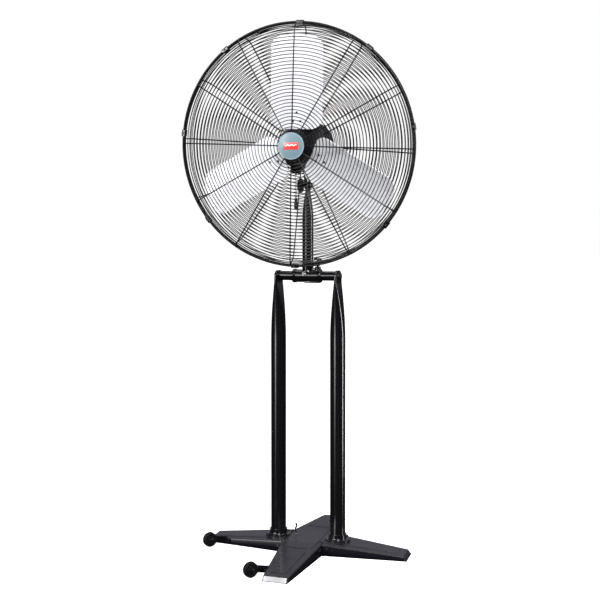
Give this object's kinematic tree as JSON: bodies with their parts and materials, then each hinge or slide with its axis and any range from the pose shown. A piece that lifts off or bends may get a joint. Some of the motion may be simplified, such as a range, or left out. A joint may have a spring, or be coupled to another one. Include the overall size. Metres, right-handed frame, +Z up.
{
  "type": "pedestal fan",
  "caption": "Industrial pedestal fan: wire-caged blades on a tilting motor head, a swinging arm on a twin-post frame, and a four-legged base with transport wheels.",
  "frame": {"origin": "on the floor, under the centre of the base where the legs cross", "axes": "+Z up, -Y is the way the fan blows, X across the two posts"},
  "size_m": [0.8287, 0.7356, 1.8252],
  "materials": {
    "black_paint": "glossy black paint",
    "base_paint": "black paint with a dusty satin top",
    "guard_wire": "black coated wire",
    "motor_paint": "dark satin paint",
    "zinc": "bright zinc plate",
    "strip_metal": "bright plate",
    "aluminium": "plain rolled sheet",
    "laminations": "stacked steel and varnish",
    "rubber": "matt",
    "plastic": "moulded black",
    "badge_plastic": "grey-blue",
    "capacitor_case": "moulded"
  },
  "bodies": {
    "stand": {"base_beam": "base_paint", "right_leg": "base_paint", "left_leg": "base_paint", "front_tip_plate": "strip_metal", "leg_bolt_front_right": "zinc", "leg_bolt_back_right": "zinc", "leg_bolt_front_left": "zinc", "leg_bolt_back_left": "zinc", "base_hook": "black_paint", "axle_left": "zinc", "wheel_bracket_left": "black_paint", "axle_front": "zinc", "wheel_bracket_front": "black_paint", "post_flange_left": "black_paint", "post_left": "black_paint", "crossbar_bolt_left": "zinc", "post_flange_right": "black_paint", "post_right": "black_paint", "crossbar_bolt_right": "zinc", "crossbar": "black_paint"},
    "wheel_left": {"wheel_left": "rubber"},
    "wheel_front": {"wheel_front": "rubber"},
    "arm": {"pivot_sleeve": "black_paint", "sleeve_bolt": "zinc", "arm_tube": "black_paint", "tilt_bolt": "zinc"},
    "lock_handle": {"sleeve_lock_handle": "plastic"},
    "tilt_knob": {"tilt_knob": "plastic"},
    "head": {"motor_shell": "motor_paint", "motor_front_bell": "motor_paint", "motor_back_bell": "motor_paint", "stator": "laminations", "bearing_front": "zinc", "bearing_back": "zinc", "capacitor_cover": "motor_paint", "capacitor": "capacitor_case", "cage_mount_ring": "motor_paint", "guard_front": "guard_wire", "guard_back": "guard_wire", "badge": "badge_plastic", "rim_clip_1": "black_paint", "rim_clip_2": "black_paint", "rim_clip_3": "black_paint", "rim_clip_4": "black_paint", "rim_clip_5": "black_paint", "rim_clip_6": "black_paint", "rim_clip_7": "black_paint", "rim_clip_8": "black_paint", "motor_bracket": "black_paint", "switch_housing": "motor_paint", "pull_switch": "plastic", "cord_gland": "plastic"},
    "rotor": {"rotor_core": "laminations", "motor_shaft": "zinc", "blade_1": "aluminium", "blade_2": "aluminium", "blade_3": "aluminium", "blade_spider": "motor_paint"},
    "pull_chain": {"pull_chain": "zinc", "chain_pendant": "plastic"}
  },
  "joints": [
    {"name": "left_wheel_spin", "type": "hinge", "parent": "stand", "child": "wheel_left", "pos_m": [-0.332, -0.103, 0.029], "axis": [0.7071, -0.7071, 0], "continuous": true},
    {"name": "front_wheel_spin", "type": "hinge", "parent": "stand", "child": "wheel_front", "pos_m": [-0.086, -0.349, 0.029], "axis": [0.7071, -0.7071, 0], "continuous": true},
    {"name": "arm_swing", "type": "hinge", "parent": "stand", "child": "arm", "pos_m": [0, 0, 0.966], "axis": [1, 0, 0], "range_deg": [-30, 75]},
    {"name": "sleeve_lock", "type": "hinge", "parent": "arm", "child": "lock_handle", "pos_m": [0.037, 0, 1], "axis": [0, 0, 1], "range_deg": [-90, 360]},
    {"name": "tilt_knob_turn", "type": "hinge", "parent": "arm", "child": "tilt_knob", "pos_m": [0, 0, 1.285], "axis": [1, 0, 0], "range_deg": [-90, 360]},
    {"name": "head_tilt", "type": "hinge", "parent": "arm", "child": "head", "pos_m": [0, 0, 1.285], "axis": [1, 0, 0], "range_deg": [-45, 5]},
    {"name": "blade_spin", "type": "hinge", "parent": "head", "child": "rotor", "pos_m": [0, -0.01463, 1.42423], "axis": [0, -0.9945, -0.1045], "continuous": true},
    {"name": "chain_pull", "type": "slide", "parent": "head", "child": "pull_chain", "axis": [0, 0, -1], "range_m": [0, 0.012], "stiffness_N_per_m": 400}
  ]
}
